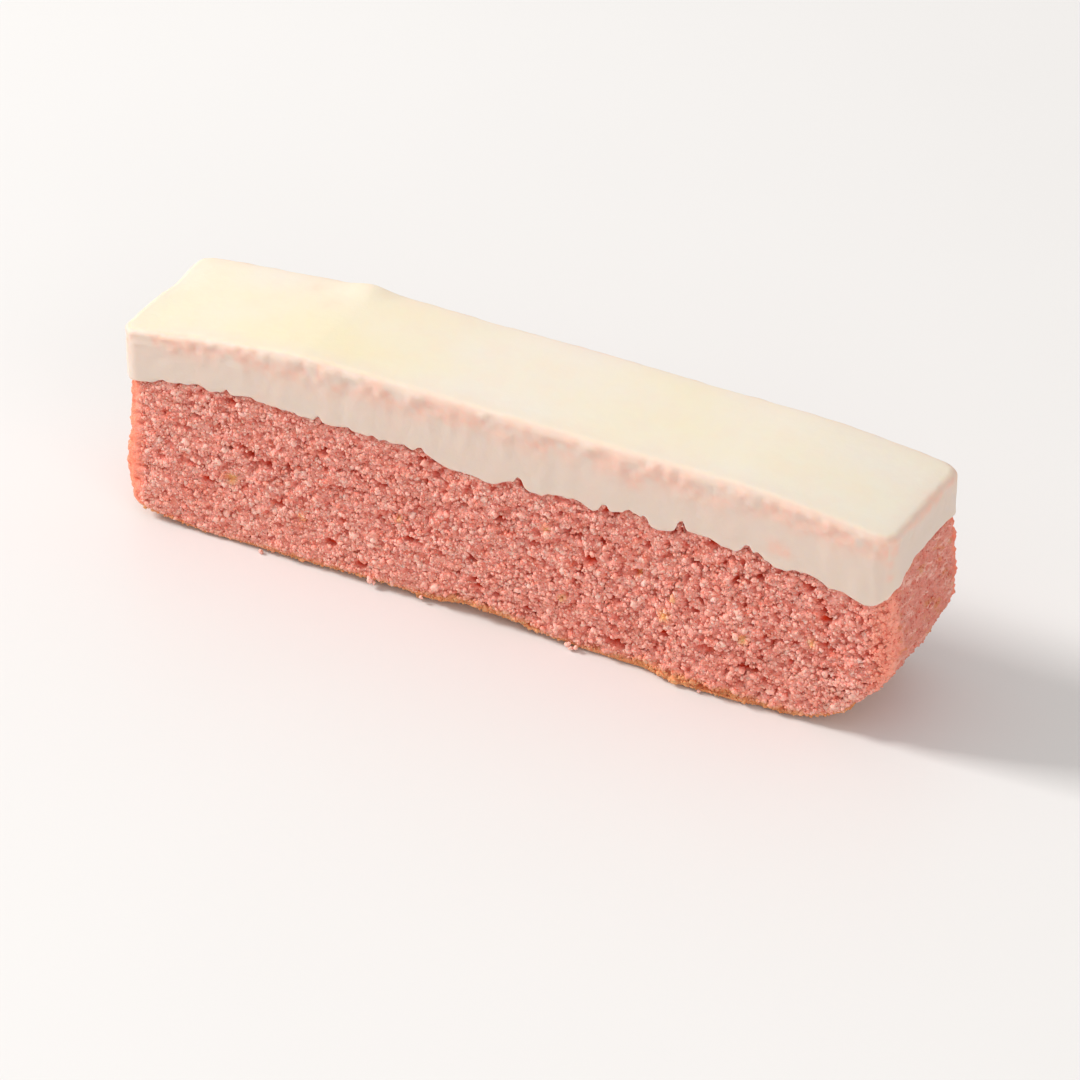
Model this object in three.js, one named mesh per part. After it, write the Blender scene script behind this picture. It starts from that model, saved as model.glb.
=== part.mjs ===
// A stick of pink baumkuchen, dipped upside down in white chocolate so that the coating caps the
// top and the upper third of every side. Millimetres: X runs along the stick, Y across it, Z up.
// The stick stands on its browned foot at z = 0, with its middle over the origin.
import * as THREE from "three";

// Driving dimensions of the stick.
const LENGTH = 116.6; // of the coated top, from end to end
const WIDTH = 21.8; // between the two long cut sides
const HEIGHT = 33.4; // from the foot to the coated top
const EDGE_RADIUS = 1.5; // of every edge
const CORNER_RADIUS = 3; // of the upright corners, which are rounded once more
const HIDDEN_RADIUS = 0.4; // least radius of the edges under the coating

// The two ends swell a little where the cake has risen, and curve in under the foot, the right
// one more at the back than at the front.
const RIGHT_END = {
  swell: 1.3, swellHeight: 15, lift: 0,
  underLength: { front: 16, back: 21 }, underHeight: { front: 11.5, back: 14 },
};
const LEFT_END = {
  swell: 1.3, swellHeight: 5.5, lift: 1.9,
  underLength: { front: 3.2, back: 3.2 }, underHeight: { front: 3.6, back: 3.6 },
};
const UNDER_POWER = 1.8; // of the curve under the ends: 2 is an ellipse, 1 a straight slope
const SWELL_SPREAD = 7; // half the height over which an end swells
const SWELL_REACH = 14; // how far from the end the swelling starts
const SWELL_LOSS = 0.3; // share of the swelling that is missing at the long sides
const LIFT_LENGTH = 16; // of the foot that curls up off the table
const LIFT_POWER = 1.5; // of the curl's curve
const LIFT_FADE = 20; // height at which the curl has faded

// The coated top sinks towards the ends, the left one more at the front. It has a small bump at its
// back edge and a dent in its left edge.
const RIGHT_SINK = { from: 35, depth: { front: 2.1, back: 2.1 }, power: 1.6 };
const LEFT_SINK = { from: 29, depth: { front: 4.0, back: 2.7 }, power: 1.25 };
const SINK_FLOOR = 24.5; // nothing below this height sinks
const BUMPS = [
  { x: -30, y: 9.5, height: 0.7, spread: 3.2 },
  { x: -59, y: 4, height: -0.7, spread: 3.5 },
];

// The coating, and the sponge inside it.
const COAT_THICKNESS = 1.1;
const FIT_GAP = 0.3; // between the coating and the sponge
const SPONGE_INSET = 0.2; // of the bare sponge behind the coating's face

// Lower edge of the coating round the stick: [place along the side, height], corner to corner.
const BORDER_FRONT = [
  [-58.3, 21.6], [-54.5, 21.8], [-51, 23.1], [-44, 23.8], [-37, 24.2], [-31, 23.8], [-20, 24.1],
  [-11, 23.9], [-5.5, 22.6], [0, 22.4], [4, 23.5], [7, 22.7], [11, 23.7], [15, 23.0], [21, 24.2],
  [25, 22.8], [29, 24.1], [35, 23.1], [38.5, 23.7], [43, 22.3], [47, 22.8], [51, 21.5],
  [54.5, 20.9], [58.3, 22.5],
];
const BORDER_RIGHT = [
  [-10.9, 22.5], [-8.5, 23.2], [-6, 24.4], [-3, 25.5], [4, 25.7], [10.9, 24.9],
];
const BORDER_BACK = [
  [-58.3, 22.8], [-50, 24.0], [-38, 23.3], [-24, 24.5], [-10, 23.2], [6, 24.3], [20, 23.4],
  [33, 24.6], [46, 23.7], [58.3, 24.9],
];
const BORDER_LEFT = [[-10.9, 21.6], [-5, 23.9], [0, 24.9], [5, 24.3], [10.9, 22.8]];

// Crags of the cut crumb, which is rough on the two long sides and finer on the ends.
const CRAG_SEED = 7;
const CRAG_SIZE = 3.6; // spacing of the broad crags, with others of half their size on them
const CRAG_SHARE = 0.6; // of the depth below, for each of the two sizes
const CRAG_DEPTH_LONG = 0.42;
const CRAG_DEPTH_END = 0.2;
const CRAG_FADE = 1.5; // height above the foot at which the crags are full, as the foot is flat

// Slow bow of the long sides at the foot: [place along the side, reach beyond the plain side].
const BOW_FRONT = [[-52, 0.6], [-40, 0.1], [22, 0], [28, 1.2], [36, 1.1], [41, 0.3], [50, 0.3]];
const BOW_BACK = [[-50, 0.1], [-34, -0.3], [-16, 0.4], [2, 0], [20, -0.4], [38, 0.3], [50, 0]];
const BOW_FADE = 20; // height at which the bow has faded

// Arches in the two long lower edges: [place along the side, height off the table].
const ARCH_FRONT = [
  [-45, 0], [-30, 0.3], [-17, 0.9], [-10, 0.5], [-4, 1.5], [2, 1.2], [8, 0.5], [15, 0],
];
const ARCH_BACK = [[-45, 0.1], [-26, 0.8], [-8, 0.2], [12, 0.9], [30, 0.1]];
const ARCH_START = 4; // distance from the middle line at which the foot starts to rise
const ARCH_FADE = 9; // height at which the arch has faded

// How finely each skin is divided. The hidden skins take every second division.
const ALONG = 66;
const ACROSS = 14;
const SPONGE_ROWS = 14;
const COAT_ROWS = 5;

const HALF_LENGTH = LENGTH / 2;
const HALF_WIDTH = WIDTH / 2;

function smooth(t) {
  const c = THREE.MathUtils.clamp(t, 0, 1);
  return c * c * (3 - 2 * c);
}

// Value of a knotted line at one place, eased from knot to knot.
function along(knots, place) {
  const last = knots.length - 1;
  const p = THREE.MathUtils.clamp(place, knots[0][0], knots[last][0]);
  const next = Math.max(1, knots.findIndex((knot) => knot[0] >= p));
  const [p0, v0] = knots[next - 1];
  const [p1, v1] = knots[next];
  return THREE.MathUtils.lerp(v0, v1, smooth((p - p0) / (p1 - p0)));
}

// Height of the coating's lower edge at a point of the outline, seen from above.
function borderHeight(x, y) {
  const nearEnd = Math.abs(x) / HALF_LENGTH >= 0.9999;
  if (nearEnd) return along(x > 0 ? BORDER_RIGHT : BORDER_LEFT, y);
  return along(y < 0 ? BORDER_FRONT : BORDER_BACK, x);
}

// A repeatable number from 0 to 1 for a whole-numbered cell of space.
function cellNoise(i, j, k) {
  let h = Math.imul(i, 374761393) ^ Math.imul(j, 668265263) ^ Math.imul(k, 2147483647);
  h = Math.imul(h ^ (h >>> 13) ^ CRAG_SEED, 1274126177);
  return ((h ^ (h >>> 16)) >>> 0) / 4294967295;
}

// Smooth noise from -1 to 1: the cells' numbers, blended between the eight nearest cells.
function smoothNoise(point, cellSize) {
  const scaled = point.clone().divideScalar(cellSize);
  const base = scaled.clone().floor();
  const part = scaled.sub(base);
  let sum = 0;
  for (let corner = 0; corner < 8; corner++) {
    const [a, b, c] = [corner & 1, (corner >> 1) & 1, corner >> 2];
    const share = (a ? smooth(part.x) : 1 - smooth(part.x))
      * (b ? smooth(part.y) : 1 - smooth(part.y))
      * (c ? smooth(part.z) : 1 - smooth(part.z));
    sum += share * cellNoise(base.x + a, base.y + b, base.z + c);
  }
  return 2 * sum - 1;
}

// Broad crags with crags of half their size on them.
function crags(point) {
  return CRAG_SHARE * (smoothNoise(point, CRAG_SIZE) + smoothNoise(point, CRAG_SIZE / 2));
}

// How far a corner rounded by radius q reaches from the inner corner of its unit square, towards
// the place (a, b) of that square.
function cornerReach(a, b, q) {
  const [u, v] = [a / Math.hypot(a, b), b / Math.hypot(a, b)];
  const straight = 1 / Math.max(u, v);
  if (straight * Math.min(u, v) <= 1 - q) return straight;
  const middle = (1 - q) * (u + v);
  return middle + Math.sqrt(Math.max(0, middle ** 2 - 2 * (1 - q) ** 2 + q ** 2));
}

// Depth by which the coated top has sunk at (x, y); negative on a bump.
function sinkDepth(x, y) {
  const side = x > 0 ? RIGHT_SINK : LEFT_SINK;
  const deepest = THREE.MathUtils.lerp(side.depth.front, side.depth.back, (y / HALF_WIDTH + 1) / 2);
  const t = Math.max(0, (Math.abs(x) - side.from) / (HALF_LENGTH - side.from));
  let depth = deepest * t ** side.power;
  for (const bump of BUMPS) {
    const away = Math.hypot(x - bump.x, y - bump.y) / bump.spread;
    depth -= bump.height * Math.exp(-away * away);
  }
  return depth;
}

// A point on the skin of the plain box, moved inwards by inset, becomes a point of the baked stick.
// The edges are rounded first, the crumb is roughened by crag and the upright corners are rounded
// once more. Then the ends curve in under the foot, swell and lift, the long sides arch and bow, and
// the top sinks.
function bakedPoint(plain, inset, crag = 0) {
  const half = new THREE.Vector3(HALF_LENGTH - inset, HALF_WIDTH - inset, HEIGHT - inset);
  const radius = Math.max(EDGE_RADIUS - inset, HIDDEN_RADIUS);
  const p = plain.clone();
  const core = new THREE.Vector3(
    THREE.MathUtils.clamp(p.x, radius - half.x, half.x - radius),
    THREE.MathUtils.clamp(p.y, radius - half.y, half.y - radius),
    THREE.MathUtils.clamp(p.z, radius, half.z - radius),
  );
  const out = p.clone().sub(core);
  const upper = p.z > HEIGHT / 2;
  const inProfile = upper ? Math.hypot(out.x, out.z) : Math.max(Math.abs(out.x), Math.abs(out.z));
  const reach = Math.hypot(inProfile, out.y);
  if (reach > 0) out.multiplyScalar(radius / reach);
  p.copy(core).add(out);

  if (crag > 0) {
    const facing = out.clone().normalize();
    const depth = Math.abs(facing.y) > 0.5 ? CRAG_DEPTH_LONG : CRAG_DEPTH_END;
    const foot = smooth(p.z / CRAG_FADE);
    p.addScaledVector(facing, crag * depth * foot * crags(p));
  }

  const a = (Math.abs(p.x) - HALF_LENGTH) / CORNER_RADIUS + 1;
  const b = (Math.abs(p.y) - HALF_WIDTH) / CORNER_RADIUS + 1;
  if (a > 0 && b > 0) {
    const pull = 1 / cornerReach(a, b, EDGE_RADIUS / CORNER_RADIUS);
    p.x = Math.sign(p.x) * (HALF_LENGTH - CORNER_RADIUS * (1 - a * pull));
    p.y = Math.sign(p.y) * (HALF_WIDTH - CORNER_RADIUS * (1 - b * pull));
  }

  const end = p.x > 0 ? RIGHT_END : LEFT_END;
  const sign = Math.sign(p.x);
  const backness = (p.y / HALF_WIDTH + 1) / 2;
  const underLength = THREE.MathUtils.lerp(end.underLength.front, end.underLength.back, backness);
  const underHeight = THREE.MathUtils.lerp(end.underHeight.front, end.underHeight.back, backness);
  const s = (Math.abs(p.x) - HALF_LENGTH) / underLength + 1;
  const t = 1 - p.z / underHeight;
  if (s > 0 && t > 0) {
    const pull = Math.max(s, t) / (s ** UNDER_POWER + t ** UNDER_POWER) ** (1 / UNDER_POWER);
    p.x = sign * (HALF_LENGTH - underLength * (1 - s * pull));
    p.z = underHeight * (1 - t * pull);
  }
  const fromSwell = (p.z - end.swellHeight) / SWELL_SPREAD;
  const nearEnd = smooth((Math.abs(p.x) - HALF_LENGTH + SWELL_REACH) / SWELL_REACH);
  const plump = 1 - SWELL_LOSS * (p.y / HALF_WIDTH) ** 2;
  p.x += sign * end.swell * plump * nearEnd * Math.exp(-fromSwell * fromSwell);

  const lift = Math.max(0, (Math.abs(p.x) - HALF_LENGTH + LIFT_LENGTH) / LIFT_LENGTH);
  p.z += end.lift * lift ** LIFT_POWER * Math.max(0, 1 - p.z / LIFT_FADE);

  const outward = smooth((Math.abs(p.y) - ARCH_START) / (HALF_WIDTH - ARCH_START));
  const arch = along(p.y < 0 ? ARCH_FRONT : ARCH_BACK, p.x);
  p.z += arch * outward * Math.max(0, 1 - p.z / ARCH_FADE);

  const bow = along(p.y < 0 ? BOW_FRONT : BOW_BACK, p.x);
  p.y += bow * Math.max(0, 1 - p.z / BOW_FADE) * (p.y / HALF_WIDTH);

  p.z -= sinkDepth(p.x, p.y) * THREE.MathUtils.clamp((p.z - SINK_FLOOR) / (HEIGHT - SINK_FLOOR), 0, 1);
  return p;
}

// Places from -half to half: two close steps over each rounded edge and even steps between.
function stations(half, count) {
  const flat = half - EDGE_RADIUS;
  const places = [-half, -half + EDGE_RADIUS / 2];
  for (let i = 0; i <= count - 4; i++) places.push(-flat + (2 * flat * i) / (count - 4));
  places.push(half - EDGE_RADIUS / 2, half);
  return places;
}

// A closed skin built up from rings that run round the stick, counter-clockwise seen from above.
class Skin {
  constructor(inset, crag = 0) {
    this.points = [];
    this.corners = [];
    this.inset = inset;
    this.crag = crag;
  }

  // Every step-th station along X or Y, drawn in by the inset.
  places(half, count, step) {
    const scale = (half - this.inset) / half;
    return stations(half, count).filter((_, i) => i % step === 0).map((place) => place * scale);
  }

  point(x, y, z) {
    this.points.push(bakedPoint(new THREE.Vector3(x, y, z), this.inset, this.crag));
    return this.points.length - 1;
  }

  // One ring; heightAt gives the plain height at each place of the outline.
  ring(step, heightAt) {
    const xs = this.places(HALF_LENGTH, ALONG, step);
    const ys = this.places(HALF_WIDTH, ACROSS, step);
    const [x0, x1, y0, y1] = [xs[0], xs.at(-1), ys[0], ys.at(-1)];
    const outline = [
      ...xs.slice(0, -1).map((x) => [x, y0]),
      ...ys.slice(0, -1).map((y) => [x1, y]),
      ...xs.slice(1).reverse().map((x) => [x, y1]),
      ...ys.slice(1).reverse().map((y) => [x0, y]),
    ];
    return outline.map(([x, y]) => this.point(x, y, heightAt(x, y)));
  }

  triangle(a, b, c) {
    this.corners.push(a, b, c);
  }

  // A band between two rings of one count, facing left of the way from lower to upper.
  band(lower, upper) {
    lower.forEach((a, i) => {
      const next = (i + 1) % lower.length;
      this.triangle(a, lower[next], upper[next]);
      this.triangle(a, upper[next], upper[i]);
    });
  }

  // A band from a ring to one with half its points.
  halvingBand(fine, coarse) {
    coarse.forEach((c, i) => {
      const next = coarse[(i + 1) % coarse.length];
      const [a, b, d] = [fine[2 * i], fine[2 * i + 1], fine[(2 * i + 2) % fine.length]];
      this.triangle(a, b, c);
      this.triangle(b, next, c);
      this.triangle(b, d, next);
    });
  }

  // A grid inside a ring. Facing up it keeps the ring's sense, and facing down it turns it round.
  cap(ring, step, plainHeight, facingUp) {
    const xs = this.places(HALF_LENGTH, ALONG, step);
    const ys = this.places(HALF_WIDTH, ACROSS, step);
    const [nx, ny] = [xs.length - 1, ys.length - 1];
    const at = xs.map((x, i) => ys.map((y, j) => {
      if (j === 0) return ring[i];
      if (i === nx) return ring[nx + j];
      if (j === ny) return ring[2 * nx + ny - i];
      if (i === 0) return ring[2 * (nx + ny) - j];
      return this.point(x, y, plainHeight);
    }));
    for (let i = 0; i < nx; i++) {
      for (let j = 0; j < ny; j++) {
        const [a, b, c, d] = [at[i][j], at[i + 1][j], at[i + 1][j + 1], at[i][j + 1]];
        if (facingUp) {
          this.triangle(a, b, c);
          this.triangle(a, c, d);
        } else {
          this.triangle(a, c, b);
          this.triangle(a, d, c);
        }
      }
    }
  }

  mesh(name, material) {
    const geometry = new THREE.BufferGeometry();
    geometry.setAttribute("position", new THREE.Float32BufferAttribute(
      this.points.flatMap((p) => [p.x, p.y, p.z]), 3));
    geometry.setIndex(this.corners);
    geometry.computeVertexNormals();
    const mesh = new THREE.Mesh(geometry, material);
    mesh.name = name;
    return mesh;
  }
}

// The outline ring scaled back to full size, so that every skin reads the same border line.
function borderAt(inset) {
  return (x, y) => borderHeight(
    (x * HALF_LENGTH) / (HALF_LENGTH - inset), (y * HALF_WIDTH) / (HALF_WIDTH - inset));
}

// Pink sponge: the bare, craggy lower part, a ledge under the coating's edge, and the plain core.
function sponge() {
  const skin = new Skin(SPONGE_INSET, 1);
  const border = borderAt(SPONGE_INSET);
  const ledge = (x, y) => border(x, y) - FIT_GAP;
  const edgeSteps = [0, EDGE_RADIUS / 2, EDGE_RADIUS];
  const rowHeight = (row) => (x, y) => (row < edgeSteps.length ? edgeSteps[row]
    : THREE.MathUtils.lerp(EDGE_RADIUS, ledge(x, y), (row - 2) / (SPONGE_ROWS - 2)));
  const rows = Array.from({ length: SPONGE_ROWS + 1 }, (_, row) => skin.ring(1, rowHeight(row)));
  skin.cap(rows[0], 1, 0, false);
  for (let row = 0; row < SPONGE_ROWS; row++) skin.band(rows[row], rows[row + 1]);

  skin.inset = COAT_THICKNESS + FIT_GAP;
  skin.crag = 0;
  const hiddenLedge = borderAt(skin.inset);
  const top = HEIGHT - skin.inset;
  const foot = skin.ring(2, (x, y) => hiddenLedge(x, y) - FIT_GAP);
  const shoulder = skin.ring(2, () => top);
  skin.halvingBand(rows[SPONGE_ROWS], foot);
  skin.band(foot, shoulder);
  skin.cap(shoulder, 2, top, true);
  return skin.mesh("sponge", new THREE.MeshStandardMaterial({
    color: "#d98476", roughness: 0.95, metalness: 0,
  }));
}

// White chocolate: the smooth outer skin, the lip along its lower edge, and the plain inner skin.
function coating() {
  const skin = new Skin(0);
  const border = borderAt(0);
  const edgeFoot = HEIGHT - EDGE_RADIUS;
  const rowHeight = (row) => (x, y) => THREE.MathUtils.lerp(border(x, y), edgeFoot, row / COAT_ROWS);
  const rows = Array.from({ length: COAT_ROWS + 1 }, (_, row) => skin.ring(1, rowHeight(row)));
  rows.push(skin.ring(1, () => HEIGHT - EDGE_RADIUS / 2), skin.ring(1, () => HEIGHT));
  for (let row = 0; row + 1 < rows.length; row++) skin.band(rows[row], rows[row + 1]);
  skin.cap(rows.at(-1), 1, HEIGHT, true);

  skin.inset = COAT_THICKNESS;
  const top = HEIGHT - skin.inset;
  const lip = skin.ring(2, borderAt(skin.inset));
  const ceiling = skin.ring(2, () => top);
  const lipStart = skin.corners.length;
  skin.halvingBand(rows[0], lip);
  skin.band(lip, ceiling);
  for (let i = lipStart; i < skin.corners.length; i += 3) {
    const [b, c] = [skin.corners[i + 1], skin.corners[i + 2]];
    skin.corners[i + 1] = c; // the lip and the inner skin face the other way
    skin.corners[i + 2] = b;
  }
  skin.cap(ceiling, 2, top, false);
  return skin.mesh("coating", new THREE.MeshStandardMaterial({
    color: "#f6ead3", roughness: 0.35, metalness: 0,
  }));
}

const cake = new THREE.Group();
cake.add(sponge(), coating());

export default cake;
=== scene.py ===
"""A stick of pink baumkuchen dipped upside down in white chocolate, dressed around its frame.

The mesh code works in millimetres, with +Z up and the stick's length along X, and make_piece turns
it into metres.
"""

import itertools

import bpy
import numpy as np
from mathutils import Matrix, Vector


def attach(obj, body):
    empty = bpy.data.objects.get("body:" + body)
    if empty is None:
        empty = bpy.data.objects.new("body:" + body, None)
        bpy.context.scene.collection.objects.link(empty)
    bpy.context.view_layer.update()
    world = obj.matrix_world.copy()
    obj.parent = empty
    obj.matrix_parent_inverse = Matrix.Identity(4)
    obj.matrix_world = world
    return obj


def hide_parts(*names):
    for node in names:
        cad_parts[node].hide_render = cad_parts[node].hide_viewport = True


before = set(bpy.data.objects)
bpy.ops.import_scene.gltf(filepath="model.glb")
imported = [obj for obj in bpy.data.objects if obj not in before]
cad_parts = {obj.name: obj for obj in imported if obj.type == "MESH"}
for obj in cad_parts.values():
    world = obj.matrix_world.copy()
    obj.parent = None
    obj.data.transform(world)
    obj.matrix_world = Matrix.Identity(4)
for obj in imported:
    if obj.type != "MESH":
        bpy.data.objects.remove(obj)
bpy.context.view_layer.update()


# ------------------------------------------------------------------------------------------------
# The sponge: one stick cut from a pink butter cake, which stands on its browned foot. Its two long
# sides are cut with a knife and show the open crumb; its ends are finer, with faint baked layers.
# ------------------------------------------------------------------------------------------------
LENGTH, WIDTH, HEIGHT = 116.6, 21.8, 33.4
EDGE_RADIUS = 1.5  # of every edge
CORNER_RADIUS = 3  # of the upright corners, which are rounded once more
HIDDEN_RADIUS = 0.4  # least radius of the edges under the coating
HALF_LENGTH, HALF_WIDTH = LENGTH / 2, WIDTH / 2

# The ends swell a little where the cake has risen, and curve in under the foot: sizes at the front
# and at the back of each end.
RIGHT_END = dict(swell=1.3, swell_height=15, lift=0, under_length=(16, 21), under_height=(11.5, 14))
LEFT_END = dict(swell=1.3, swell_height=5.5, lift=1.9, under_length=(3.2, 3.2), under_height=(3.6, 3.6))
UNDER_POWER = 1.8  # of the curve under the foot, where 2 is an ellipse
SWELL_SPREAD, SWELL_REACH = 7, 14  # of the swelling, up the end and along the stick
SWELL_FLATTER = 0.3  # how much less it swells at the upright corners
LIFT_LENGTH, LIFT_FADE, LIFT_POWER = 16, 20, 1.5  # of the lift, along the stick, up it, and its curve

# The coated top sinks towards the ends: (start, depth at the front, at the back, power). It has a
# small bump at its back edge and a dent in its left edge: (x, y, height, spread).
RIGHT_SINK, LEFT_SINK = (35, 2.1, 2.1, 1.6), (29, 4.0, 2.7, 1.25)
SINK_FLOOR = 24.5  # height down to which the sinking fades out
BUMPS = [(-30, 9.5, 0.7, 3.2), (-59, 4, -0.7, 3.5)]

# The long sides bow at the foot, and their lower edges arch off the table: (place along X, size).
BOW_FRONT = [(-52, 0.6), (-40, 0.1), (22, 0), (28, 1.2), (36, 1.1), (41, 0.3), (50, 0.3)]
BOW_BACK = [(-50, 0.1), (-34, -0.3), (-16, 0.4), (2, 0), (20, -0.4), (38, 0.3), (50, 0)]
BOW_FADE = 20  # height up to which the bow fades out
ARCH_FRONT = [(-45, 0), (-30, 0.3), (-17, 0.9), (-10, 0.5), (-4, 1.5), (2, 1.2), (8, 0.5), (15, 0)]
ARCH_BACK = [(-45, 0.1), (-26, 0.8), (-8, 0.2), (12, 0.9), (30, 0.1)]
ARCH_START, ARCH_FADE = 4, 9  # distance from the middle line, and height up to which it fades

# Lower edge of the coating round the stick: (place along the side, height), corner to corner.
BORDER_FRONT = [
    (-58.3, 21.6), (-54.5, 21.8), (-51, 23.1), (-44, 23.8), (-37, 24.2), (-31, 23.8), (-20, 24.1),
    (-11, 23.9), (-5.5, 22.6), (0, 22.4), (4, 23.5), (7, 22.7), (11, 23.7), (15, 23.0), (21, 24.2),
    (25, 22.8), (29, 24.1), (35, 23.1), (38.5, 23.7), (43, 22.3), (47, 22.8), (51, 21.5),
    (54.5, 20.9), (58.3, 22.5),
]
BORDER_RIGHT = [(-10.9, 22.5), (-8.5, 23.2), (-6, 24.4), (-3, 25.5), (4, 25.7), (10.9, 24.9)]
BORDER_BACK = [
    (-58.3, 22.8), (-50, 24.0), (-38, 23.3), (-24, 24.5), (-10, 23.2), (6, 24.3), (20, 23.4),
    (33, 24.6), (46, 23.7), (58.3, 24.9),
]
BORDER_LEFT = [(-10.9, 21.6), (-5, 23.9), (0, 24.9), (5, 24.3), (10.9, 22.8)]

# Notches where a crumb or a pore breaks the coating's edge: (place along X, height, half width).
NOTCHES_FRONT = [
    (-41.2, 0.5, 0.5), (-26.6, 0.6, 0.5), (-10.9, 0.6, 0.6), (4.2, 0.9, 0.5), (16.9, 0.9, 0.5),
    (20.4, 0.4, 0.5), (23.0, 0.6, 0.4), (28.1, 1.1, 0.5), (37.8, 0.8, 0.5), (39.6, 0.5, 0.5),
    (45.4, 0.4, 1.4),
]
NOTCHES_BACK = [
    (-47, 0.7, 0.6), (-31.5, 0.9, 0.5), (-19, 0.5, 0.8), (-3.5, 1.0, 0.5), (9.5, 0.6, 0.5),
    (14, 0.9, 0.6), (27.5, 0.5, 0.9), (38, 1.0, 0.5), (52, 0.6, 0.5),
]
NOTCH_ROUND = 0.15  # how much wider to each side a notch is than the pore behind it
RAGGED_LONG, RAGGED_END = 0.4, 0.14  # how uneven the edge is, on the long sides and the ends
RAGGED = [(1.9, 0.5, 31), (0.95, 0.7, 32)]  # its noise, in layers of (cell size, share, seed)
ON_SIDE = 0.9999  # share of the half length or width from which a place is on that side

# Crumb: broad crags, and domes for its clusters and grains, all deeper on the long sides than on
# the ends. Noise comes in layers, as above.
CRAGS = [(3.6, 0.6, 7), (1.8, 0.6, 7)]
CRAG_DEPTH_LONG, CRAG_DEPTH_END = 0.42, 0.2
# Domes: spacing, height, radius as a share of the spacing, and seed.
CLUSTER = dict(size=1.35, height=0.75, reach=0.8, seed=41)
GRAIN = dict(size=0.72, height=0.62, reach=0.75, seed=42)
CLUSTER_LEAST, CLUSTER_PALER = 0.4, 0.7  # share of its height a cluster has, and more if pale
DOME_LEVEL = 0.6  # how far up a dome the plain skin lies
WARPS = [(0.9, 0.18, 43), (2.3, 0.45, 46)]  # they bend the domes out of round
LYING = np.array([1.2, 1.0, 0.88])  # the domes lie a little longer than high
CREASES = [(1.9, 0.22, 48), (0.9, 0.16, 49)]  # cracks between them: (spacing, depth, seed)
CREASE_POWER = 0.6  # under 1, so that the cracks are sharp
COARSER_RIGHT = 0.22  # the crumb is coarser towards the right end
COARSER_PATCHES = [(6.5, 0.3, 54)]
ROUGH_END = 0.35  # how rough the ends are, against the long sides
LONG_FACING, LONG_BLEND = 0.35, 0.4  # facing from which a skin counts as a long side
LAYERS = [((3.0, 4.0, 0.5), 1, 52), ((0.6, 0.7, 0.45), 0.8, 53)]
LAYER_HEIGHT = 0.26  # of the baked layers that show on the ends
# Behind the coating's lip the crumb lies deeper and is smoother; it is also painted a little darker
# red, as shade under the lip.
RECESS, RECESS_HEIGHT, RECESS_SMOOTHER, RECESS_SHADE = 0.28, 1.6, 0.45, 0.12
FOOT_FADE = 1.5  # the relief fades out over this height at the foot
CAVITY_SHADE, CAVITY_DEPTH = 0.8, 0.9  # painted shade: how dark red a hollow between grains is, against a pore
PAINTED_TOP_LIGHT = 0.7  # painted light: how fast the crumb gets paler towards the top of a dome
# Seeded pores: (spacing, stretch along X and Z, share of cells, widest radius, depth).
PORES = [(3.1, 1.5, 0.8, 0.3, 0.26, 1.0), (1.5, 1.3, 0.85, 0.4, 0.32, 0.5)]
PORE_STRETCH_Y, PORE_LEAST = 1.2, 0.02  # stretch along Y, and share of the least pore
JITTER_SEEDS = (101, 202, 303)  # for the place of a cell's seed along each axis
PORE_WANDER = [(0.9, 0.25, 51)]  # it makes the outline of the pores below uneven
# The pores that show most on the near side: (x, z, half length, half height, depth).
PITS_FRONT = [
    (-37.9, 15.0, 1.3, 0.42, 1.1), (-31.6, 14.8, 0.8, 0.6, 1.2), (-33.4, 8.7, 1.7, 0.38, 0.8),
    (-40.7, 22.6, 1.6, 0.45, 0.8), (-48.2, 6.6, 0.4, 0.4, 0.7), (-22.5, 7.4, 0.6, 0.5, 0.9),
    (-20.4, 16.8, 0.7, 0.4, 0.7), (-46.0, 18.7, 0.9, 0.3, 0.6), (-12.2, 9.4, 0.8, 0.35, 0.8),
    (1.2, 17.1, 1.7, 0.42, 0.9), (-3.6, 9.0, 0.8, 0.42, 1.1), (5.8, 9.7, 0.6, 0.35, 1.1),
    (6.4, 14.9, 1.1, 0.4, 0.8), (16.6, 18.1, 0.8, 0.55, 1.2), (14.6, 14.9, 1.2, 0.6, 1.0),
    (13.3, 12.4, 1.0, 0.3, 0.7), (21.5, 14.9, 0.9, 0.5, 1.2), (30.0, 19.4, 0.7, 0.55, 1.2),
    (30.4, 12.1, 0.8, 0.4, 0.9), (36.1, 18.3, 0.6, 0.4, 0.9), (38.2, 5.7, 1.6, 0.4, 0.9),
    (44.7, 8.1, 0.6, 0.45, 0.8), (49.8, 8.7, 0.9, 0.5, 1.0), (46.3, 21.0, 1.2, 0.45, 0.9),
    (48.9, 16.6, 0.9, 0.5, 0.9), (28.9, 6.2, 0.6, 0.4, 0.7), (-10.8, 22.6, 0.8, 0.5, 0.9),
    (4.2, 23.4, 0.5, 0.6, 1.0), (16.9, 22.9, 0.6, 0.6, 1.0), (28.1, 23.6, 0.5, 0.6, 1.0),
]
# Golden specks of baked batter on the near side: (x, z, radius).
GOLD_FRONT = [
    (-40.9, 10.4, 0.8), (-29.8, 7.6, 0.48), (26.1, 10.1, 0.72), (27.0, 12.8, 0.4), (37.4, 9.9, 0.64),
    (8.1, 17.6, 0.48), (21.7, 15.0, 0.4), (-14.5, 12.0, 0.4), (47.2, 12.4, 0.48), (10.4, 7.4, 0.48),
]
GOLD_SHARE = 0.9  # how golden they are

ALONG_STEPS, ACROSS_STEPS, CRUMB_ROWS = 400, 76, 84  # fineness of the skin
CRUMB_INSET = 0.85  # how far the crumb lies behind the coating's face
ABOVE_EDGE = 0.4  # how far its rows go on above the coating's edge
TUCK = [(0.8, 0.9), (1.8, 1.2), (3.0, 1.4)]  # hidden rows: (height above the edge, inset)
# Hollows of the underside: their depth, how high they reach, and their noise.
UNDERSIDE_DEPTH, UNDERSIDE_FADE, UNDERSIDE = 0.12, 0.5, [(4.5, 1, 71)]
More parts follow.
